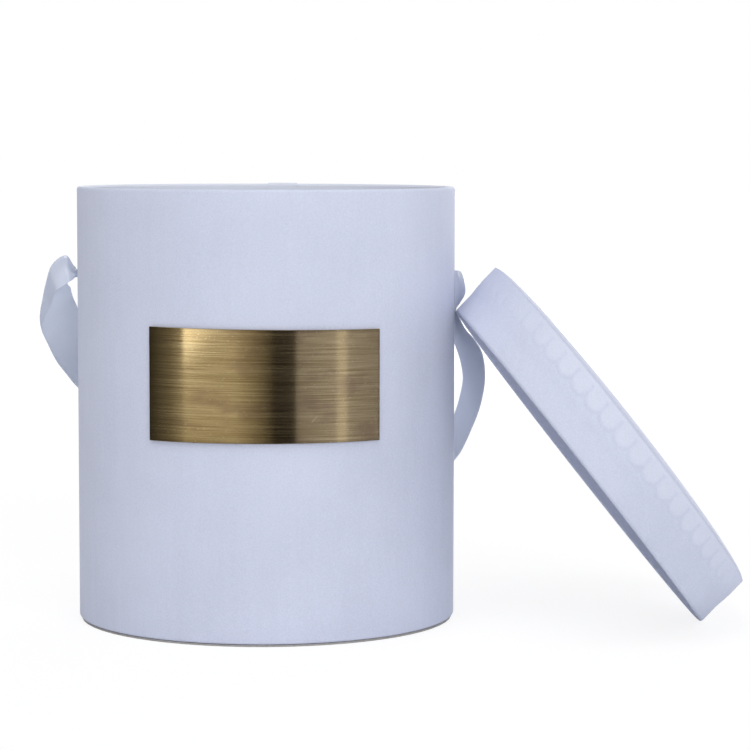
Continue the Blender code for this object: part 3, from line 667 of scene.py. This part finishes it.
stations = [*[side_station(-1, 0, ribbon_drop, *shares) for shares in left_stations],
            *[back_station(*shares) for shares in back_stations],
            *[side_station(1, pinch_drop, fall_drop, *shares) for shares in right_fall_stations],
            side_station(1, pinch_drop, 0, pinch_gap / ribbon_width, 0, 0,
                         (-pinch_curl, -1, 0), (-pinch_curl, 1, 0), 0.50, 0.88),
            *[side_station(1, 0, pinch_drop, *shares) for shares in right_bulge_stations]]
ribbon_rows = smooth_rows(stations, ribbon_row_spacing)
ribbon_points = 33
last_row, last_place = len(ribbon_rows) - 1, ribbon_points - 1
ribbon_centres = []
for row in ribbon_rows:
    fold, front, rear = Vector(row[:3]), Vector(row[3:6]), Vector(row[6:9])
    front.normalize()
    rear.normalize()
    front_share, opening, roundness = row[9:]
    softness = fold_softness * (1 - clamp(roundness))
    line = []
    for index in range(ribbon_points):
        place = (index / last_place - front_share) * ribbon_width * opening
        reach = sqrt(place ** 2 + softness ** 2)
        line.append(fold + rear * (reach + place) / 2 + front * (reach - place) / 2)
    ribbon_centres.append(line)
# The gathered necks: the strip's full width is laid in pleats, deepest where it is least open
# and shallow at its edges, and the pleats press it thinner there.
pleat_count = 2
pleat_depth = 0.7 * (ribbon_neck_radius - ribbon_thickness / 2)
pleat_at_edge = 0.15
neck_closing = 0.82
neck_thinning = 0.45
ribbon_skins = []
for index, line in enumerate(ribbon_centres):
    before = ribbon_centres[max(index - 1, 0)]
    after = ribbon_centres[min(index + 1, last_row)]
    opening = ribbon_rows[index][10]
    closed = clamp((1 - opening) / neck_closing)
    half = ribbon_thickness / 2 * (1 - neck_thinning * closed)
    outer, inner = [], []
    for place, point in enumerate(line):
        run = after[place] - before[place]
        width = line[min(place + 1, last_place)] - line[max(place - 1, 0)]
        normal = width.cross(run).normalized()
        share = place / last_place
        envelope = (sqrt(max(1 - (2 * share - 1) ** 2, 0)) * (1 - pleat_at_edge)
                    + pleat_at_edge)
        pleat = pleat_depth * closed ** 0.8 * envelope * sin(2 * pi * pleat_count * share)
        outer.append(point + normal * (pleat + half))
        inner.append(point + normal * (pleat - half))
    ribbon_skins.append((outer, inner))
run_lengths = [0.0]
for line, following in zip(ribbon_centres, ribbon_centres[1:]):
    run_lengths.append(run_lengths[-1] + (following[ribbon_points // 2]
                                          - line[ribbon_points // 2]).length)


def bridge(shape, ring, following):
    """Faces all the way round between two rings of points."""
    for point in range(len(ring)):
        after = (point + 1) % len(ring)
        shape.faces.new((ring[point], ring[after], following[after], following[point]))


def close_end(shape, ring):
    """Faces across a strip's cut end, whose ring runs out on one skin and back on the other."""
    for place in range(len(ring) // 2 - 1):
        shape.faces.new((ring[place], ring[place + 1], ring[-2 - place], ring[-1 - place]))


def finish_cloth(name, shape):
    """The object made from this shape, smooth but for its cut edges."""
    bmesh.ops.recalc_face_normals(shape, faces=shape.faces)
    mesh = bpy.data.meshes.new(name)
    for face in shape.faces:
        face.smooth = True
    shape.to_mesh(mesh)
    shape.free()
    mesh.set_sharp_from_angle(angle=radians(60))
    return new_object(name, mesh)


ribbon_shape = bmesh.new()
ribbon_rings, flat_place, back_points = [], {}, set()
for (outer, inner), run in zip(ribbon_skins, run_lengths):
    skins = [[ribbon_shape.verts.new(point) for point in skin] for skin in (outer, inner)]
    for skin in skins:
        for place, point in enumerate(skin):
            flat_place[point] = (place / last_place * ribbon_width, run)
    back_points.update(skins[1])
    ribbon_rings.append(skins[0] + skins[1][::-1])
for ring, following in zip(ribbon_rings, ribbon_rings[1:]):
    bridge(ribbon_shape, ring, following)
close_end(ribbon_shape, ribbon_rings[0])
close_end(ribbon_shape, ribbon_rings[-1])
# The strip laid out flat in metres, for its weave, and its dull back.
ribbon_uv = ribbon_shape.loops.layers.uv.new("UVMap")
for face in ribbon_shape.faces:
    face.material_index = int(back_points.issuperset(face.verts))
    for loop in face.loops:
        loop[ribbon_uv].uv = flat_place[loop.vert]
ribbon = finish_cloth("satin_ribbon", ribbon_shape)


def satin_finish(name, pale, shade, roughness, thread_depth, gloss, let_through):
    """One face of the ribbon: threads along and across it, this gloss, and the share of the
    light that the thin cloth lets through."""
    satin = new_finish(name)
    strip = add_node(satin, "UVMap", uv_map="UVMap")
    thread_place = add_node(satin, "Mapping", {
        "Vector": strip, "Scale": (1 / 0.0007, 1 / 0.020, 1)})
    threads = add_node(satin, "TexNoise", {
        "Vector": thread_place, "Scale": 1.0, "Detail": 3.0, "Roughness": 0.7},
        noise_dimensions="2D")
    weft_place = add_node(satin, "Mapping", {"Vector": strip, "Scale": (1 / 0.010, 1 / 0.0006, 1)})
    weft = add_node(satin, "TexNoise", {
        "Vector": weft_place, "Scale": 1.0, "Detail": 2.0}, noise_dimensions="2D")
    weave = add_node(satin, "Math", {0: threads, 1: weft}, operation="ADD")
    weave_tone = add_node(satin, "MapRange", {0: weave, 1: 0.7, 2: 1.3})
    strip_colour = add_node(satin, "Mix", {
        0: weave_tone, 6: linear(shade), 7: linear(pale)}, data_type="RGBA")
    weave_bump = add_node(satin, "Bump", {
        "Strength": thread_depth, "Distance": 0.00005, "Height": weave})
    strip_shader = add_node(satin, "BsdfPrincipled", {
        "Base Color": strip_colour, "Roughness": roughness, "IOR": 1.45 + 0.35 * gloss,
        "Specular IOR Level": gloss, "Sheen Weight": 0.15, "Sheen Roughness": 0.35,
        "Normal": weave_bump})
    strip_through = add_node(satin, "BsdfTranslucent", {
        "Color": linear("#f3f6fc"), "Normal": weave_bump})
    strip_mix = add_node(satin, "MixShader", {0: let_through, 1: strip_shader, 2: strip_through})
    add_node(satin, "OutputMaterial", {"Surface": strip_mix})
    return satin


# Satin's bright face: pale lilac with a broad soft shine, its threads lying along the strip.
# They are 0.1 mm, too fine to show, so they are drawn 0.7 mm coarse.
satin_face = satin_finish("lilac_satin_face", "#eaeef7", "#dfe5f2", 0.20, 0.25, 1.00, 0.50)
# Satin's dull back: the same dye with the cross threads on top and hardly a shine, its colour
# painted much darker and greyer as painted shade.
satin_back_painted_shade = satin_finish("lilac_satin_back_painted_shade", "#b2bace", "#a4adc2", 0.60, 0.35, 0.35, 0.82)
ribbon.data.materials.append(satin_face)
ribbon.data.materials.append(satin_back_painted_shade)
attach(ribbon, "handle")
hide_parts("ribbon_handle")


# ----------------------------------------
# Knots: each end of the ribbon is tied in an overhand knot inside the wall, so that it can't be
# pulled out, and its cut tail hangs open below.

knot_start = 0.0963
knot_length = 0.0120
strand_radius = 0.0021
strand_steps, strand_sides = 120, 20
knot_spread, knot_half_depth = 0.00150, 0.0036
tail_length, tail_rows, tail_points = 0.0150, 14, 25
tail_half_thickness = 0.00022
tail_overlap = 0.0020
# Half the tail's width where it leaves the knot and at its cut end, and how deep its pleats are.
tail_neck, tail_open = 0.0020, 0.0121
tail_pleat, tail_curl = 0.0013, 0.0003
# The shares of the tail's length that it reaches inwards and hangs down, and how its fall bends.
tail_inwards, tail_down, tail_bend = 0.55, 0.80, 1.6
tail_notch = 0.0022


def tie_knot(name, side, node):
    """The tied lump as one gathered strand crossing itself, and its open tail."""
    shape = bmesh.new()
    middle = Vector((side * (knot_start - knot_length / 2), 0, hole_height))

    def strand(turn):
        """A point on the strand's middle line, which crosses itself three times."""
        return middle + Vector((side * knot_half_depth * sin(3 * turn),
                                knot_spread * (sin(turn) + 2 * sin(2 * turn)),
                                knot_spread * (cos(turn) - 2 * cos(2 * turn))))

    rings = []
    for step in range(strand_steps):
        turn = 2 * pi * step / strand_steps
        along = (strand(turn + 0.01) - strand(turn - 0.01)).normalized()
        outward = strand(turn) - middle
        outward = (outward - along * outward.dot(along)).normalized()
        across = along.cross(outward)
        ring = []
        for point in range(strand_sides):
            angle = 2 * pi * point / strand_sides
            pleated = strand_radius * (1 + 0.10 * cos(5 * angle + 2 * turn))
            ring.append(shape.verts.new(strand(turn) + outward * pleated * 0.85 * cos(angle)
                                        + across * pleated * 1.1 * sin(angle)))
        rings.append(ring)
    for index, ring in enumerate(rings):
        bridge(shape, ring, rings[(index + 1) % strand_steps])
    # The neck that runs into the knot's middle, and the tail that leaves it and falls open.
    skins = []
    for row in range(tail_rows + 1):
        share = row / tail_rows
        half_width = tail_neck + (tail_open - tail_neck) * share ** 0.8
        fall = Vector((side * (knot_start - knot_length + tail_overlap
                               - (tail_length * tail_inwards + tail_overlap) * share), 0,
                       hole_height - tail_length * tail_down * share ** tail_bend))
        slope = Vector((-side * tail_inwards, 0,
                        -tail_down * tail_bend * share ** (tail_bend - 1))).normalized()
        facing = slope.cross(Vector((0, 1, 0))).normalized()
        outer, inner = [], []
        for point in range(tail_points):
            even = point / (tail_points - 1)
            pleat = (tail_pleat * (1 - share) ** 1.2 * sin(6 * pi * even)
                     + tail_curl * sin(3 * pi * even))
            notch = -slope * tail_notch * (1 - abs(2 * even - 1)) * share ** 6
            spot = fall + Vector((0, (2 * even - 1) * half_width, 0)) + facing * pleat + notch
            outer.append(shape.verts.new(spot + facing * tail_half_thickness))
            inner.append(shape.verts.new(spot - facing * tail_half_thickness))
        skins.append(outer + inner[::-1])
    for ring, following in zip(skins, skins[1:]):
        bridge(shape, ring, following)
    shape.faces.new(skins[0])
    close_end(shape, skins[-1])
    flat_uv = shape.loops.layers.uv.new("UVMap")
    for face in shape.faces:
        for loop in face.loops:
            loop[flat_uv].uv = (loop.vert.co.y, loop.vert.co.x + loop.vert.co.z)
    knot = finish_cloth(name, shape)
    knot.data.materials.append(satin_face)
    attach(knot, "handle")
    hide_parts(node)
    return knot


left_knot = tie_knot("tied_knot_left", -1, "knot_left")
right_knot = tie_knot("tied_knot_right", 1, "knot_right")


# ----------------------------------------
# Lid's side wrap: a strip of velvet paper round the lid's wall, over the round-ended tabs of the
# cover, whose outlines press through it, and turned in round the open edge.

lid_wall = 0.0306
lid_clearance, lid_board = 0.0013, 0.0016
ring_inner = body_radius + lid_clearance + velvet_thickness + glue_line
ring_outer = ring_inner + lid_board
ring_bottom = velvet_thickness + glue_line
tab_inner = ring_outer + glue_line
tab_outer = tab_inner + velvet_thickness
tab_count = 58
tab_pitch = 2 * pi * tab_outer / tab_count
tab_width_share = 0.80
tab_half = tab_pitch * tab_width_share / 2
tab_length, tab_band = 0.0100, 0.0016
tab_tip = lid_wall - tab_length
tab_round_centre = tab_tip + tab_half
tab_lift = velvet_thickness + glue_line
tab_fade = 0.0100
tab_press, tab_press_run = 0.00026, 0.0030
press_below, press_fade = 0.0005, 0.0030
lid_lap, lid_turn_in = 0.007, 0.012
lid_edge_round = 0.0009
# The lid's place: it leans 51.88 degrees from upright, stands 20 mm to the front, and its top
# has slid 4.3 mm over its rim.
lid_racked = 0.0043
rack = Matrix.Identity(4)
rack[0][2] = -lid_racked / lid_wall
lid_centre = (0.1643658, -0.0200000, 0.0815911)
lid_turn, lid_lean = radians(0.58), radians(51.88)
lid_place = (Matrix.Translation(lid_centre) @ Matrix.Rotation(lid_turn, 4, "Z")
             @ Matrix.Rotation(lid_lean, 4, "Y") @ rack)


def outside_tab(angle, height):
    """How far a point of the lid's wall lies outside the nearest tab's outline."""
    share = (angle * tab_count / (2 * pi)) % 1
    sideways = abs(share - 0.5) * tab_pitch
    if height > lid_wall - tab_band:
        return -tab_half
    if height > tab_round_centre:
        return sideways - tab_half
    return hypot(sideways, tab_round_centre - height) - tab_half


def ease(share):
    """A share from 0 to 1 that starts and ends softly."""
    return share * share * (3 - 2 * share)


side_row = 0.0006
side_heights = [*[lid_wall - tab_band * step / 4 for step in range(4)],
                *[lid_wall - tab_band - side_row * step for step in range(20)],
                0.0165, 0.015, 0.0135, 0.012, 0.010, 0.006]
side_path = [*[(ring_outer + glue_line, height) for height in side_heights],
             *rounded(ring_outer - lid_edge_round, ring_bottom + lid_edge_round,
                      lid_edge_round + glue_line, 0, -90, 6),
             *rounded(ring_inner + edge_round, ring_bottom + edge_round, corner, -90, -180, 4),
             (ring_inner - glue_line, lid_lap), (ring_inner - glue_line, lid_turn_in)]
lid_sides = tab_count * 12
lid_side = start_ring("lid_velvet_side", lid_sides, *side_path[0])
pull_ring(side_path)
close_up()
for vertex in lid_side.data.vertices:
    across = hypot(vertex.co.x, vertex.co.y)
    if across > ring_outer and vertex.co.z > tab_tip - tab_fade:
        # The strip bridges the tabs and comes down to the ring slowly below them. Between and
        # under the tabs it was pressed in a little with the bone folder.
        carried = clamp((vertex.co.z - tab_tip + tab_fade) / tab_fade)
        away = outside_tab(atan2(vertex.co.y, vertex.co.x), vertex.co.z)
        near = clamp(1 - (tab_tip - press_below - vertex.co.z) / press_fade)
        raised = (across + tab_lift * ease(carried)
                  - tab_press * near * ease(clamp(away / tab_press_run)))
        vertex.co.x *= raised / across
        vertex.co.y *= raised / across
# Painted highlight over the tabs and painted shade in the gaps between them.
paint_lowest = ring_bottom + 0.010
pale_run, gap_middle, gap_half = 0.0018, 0.0016, 0.0012
tab_highlight_share, gap_shade_share = 0.40, 0.16
# The painted highlight and shade are full within this many degrees of the lid's front and fade
# over these; elsewhere they keep this share.
painted_front_angle, painted_front_fade, paint_elsewhere = 35, 30, 0.15


def side_painted_light_shade_at(point):
    """Painted highlight where the tabs stand under the velvet and painted shade in the gaps
    between them.
    """
    if hypot(point.x, point.y) <= ring_outer or point.z <= paint_lowest:
        return 0
    turn = atan2(point.y, point.x)
    away = outside_tab(turn, point.z)
    pale = clamp(0.6 - away / pale_run)
    deep = clamp(1 - abs(away - gap_middle) / gap_half)
    front_weight = clamp(1 - (abs(degrees(turn) + 90) - painted_front_angle) / painted_front_fade, paint_elsewhere)
    return (tab_highlight_share * pale - gap_shade_share * deep) * front_weight


paint_light_and_shade(lid_side, side_painted_light_shade_at)
add_modifier(lid_side, "SOLIDIFY", thickness=velvet_thickness, offset=1.0, use_even_offset=True)
smooth_by_angle(lid_side, 50)
lid_side.data.transform(lid_place)
lid_side.data.materials.append(velvet)
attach(lid_side, "lid")
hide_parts("lid_side_wrap")


# ----------------------------------------
# Lid's top cover: one velvet sheet over the padded top. Its edge is cut into round-ended tabs
# like gear teeth, which are folded down and glued on the ring under the side wrap.

crown_height = 0.0060
tip_limit = 0.995
cover_sides = tab_count * 10


def crown(drop, steps, foot=0.0):
    """Steps over the lid's crown, this far under the cover's face, from edge to middle."""
    path = []
    for step in range(steps):
        angle = pi / 2 * (step / steps) ** 1.8
        normal = Vector((cos(angle) / tab_outer, sin(angle) / crown_height)).normalized()
        path.append(Vector((tab_outer * cos(angle), crown_height * sin(angle))) - normal * drop)
    path = [step for step in path if step.y >= foot]
    return [(step.x, lid_wall + step.y) for step in path]


cover_path = crown(0, 18)
lid_cover = start_ring("lid_velvet_cover", cover_sides, *cover_path[0])
pull_ring(cover_path)
pull_up(lid_wall + crown_height - cover_path[-1][1])
bpy.ops.mesh.merge(type="CENTER")


def select_edges(piece, wanted):
    """In edit mode, selects the edges for which wanted(middle) is true."""
    bpy.ops.mesh.select_mode(type="EDGE")
    bpy.ops.mesh.select_all(action="DESELECT")
    shape = bmesh.from_edit_mesh(piece.data)
    for edge in shape.edges:
        start, end = edge.verts
        edge.select = bool(wanted((start.co + end.co) / 2) and abs(start.co.z - end.co.z) < 1e-7)
    shape.select_flush_mode()
    bmesh.update_edit_mesh(piece.data)


select_edges(lid_cover, lambda middle: middle.z < lid_wall + 1e-6
             and hypot(middle.x, middle.y) > tab_outer - 0.0001)
pull_up(-tab_band)
select_edges(lid_cover, lambda middle: middle.z < lid_wall - 0.0015 and abs(
    (atan2(middle.y, middle.x) * tab_count / (2 * pi)) % 1 - 0.5) < tab_width_share / 2)
for step in (0.0015, 0.0015, 0.0015, 0.0013, 0.0010, 0.0008, 0.0005, 0.0002):
    pull_up(-step)
bpy.ops.object.mode_set(mode="OBJECT")
for vertex in lid_cover.data.vertices:
    if vertex.co.z < tab_round_centre:
        turn = atan2(vertex.co.y, vertex.co.x) * tab_count / (2 * pi)
        fall = min((tab_round_centre - vertex.co.z) / tab_half, tip_limit)
        tab_middle = turn // 1 + 0.5
        angle = (tab_middle + (turn - tab_middle) * sqrt(1 - fall ** 2)) * 2 * pi / tab_count
        vertex.co.x, vertex.co.y = tab_outer * cos(angle), tab_outer * sin(angle)
bpy.ops.object.mode_set(mode="EDIT")
close_up()
add_modifier(lid_cover, "SOLIDIFY", thickness=velvet_thickness, offset=-1.0,
             use_even_offset=True)
smooth_by_angle(lid_cover, 50)
# The whole crown is painted a little darker, as painted shade.
paint_light_and_shade(lid_cover, lambda point: -0.45)
lid_cover.data.transform(lid_place)
lid_cover.data.materials.append(velvet)
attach(lid_cover, "lid")
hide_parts("lid_top_cover")


# ----------------------------------------
# Lid's padding: a soft foam sheet between the board and the cover, thick in the middle and
# pressed to nothing at the edge, which gives the lid its low dome.

pad_depth = velvet_thickness + glue_line
pad_path = crown(pad_depth, 18, foot=glue_line)
pad_foot = pad_path[0][1]
pad_centre_radius = 0.004
lid_padding = start_ring("lid_padding", tab_count * 3, pad_centre_radius, pad_foot)
pull_ring([(pad_centre_radius, pad_foot), (body_radius / 2, pad_foot),
           (pad_path[0][0] - 0.002, pad_foot), *pad_path])
pull_up(lid_wall + crown_height - pad_depth - pad_path[-1][1])
bpy.ops.mesh.merge(type="CENTER")
select_edges(lid_padding, lambda middle: hypot(middle.x, middle.y) < pad_centre_radius + 0.0001
             and middle.z < pad_foot + 1e-6)
bpy.ops.mesh.edge_face_add()
close_up()
smooth_by_angle(lid_padding)
lid_padding.data.transform(lid_place)

foam = new_finish("white_foam_sheet")
# Soft polyurethane foam: dull off-white with open cells about 0.8 mm across.
foam_place = add_node(foam, "TexCoord").outputs["Object"]
foam_cells = add_node(foam, "TexVoronoi", {
    "Vector": foam_place, "Scale": 1 / 0.0008}, feature="SMOOTH_F1")
foam_colour = add_node(foam, "Mix", {
    0: foam_cells, 6: linear("#d6d5cd"), 7: linear("#ecebe6")}, data_type="RGBA")
foam_bump = add_node(foam, "Bump", {"Strength": 0.5, "Distance": 0.0003, "Height": foam_cells})
foam_shader = add_node(foam, "BsdfPrincipled", {
    "Base Color": foam_colour, "Roughness": 0.95, "Normal": foam_bump})
add_node(foam, "OutputMaterial", {"Surface": foam_shader})
lid_padding.data.materials.append(foam)
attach(lid_padding, "lid")
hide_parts("lid_pad")
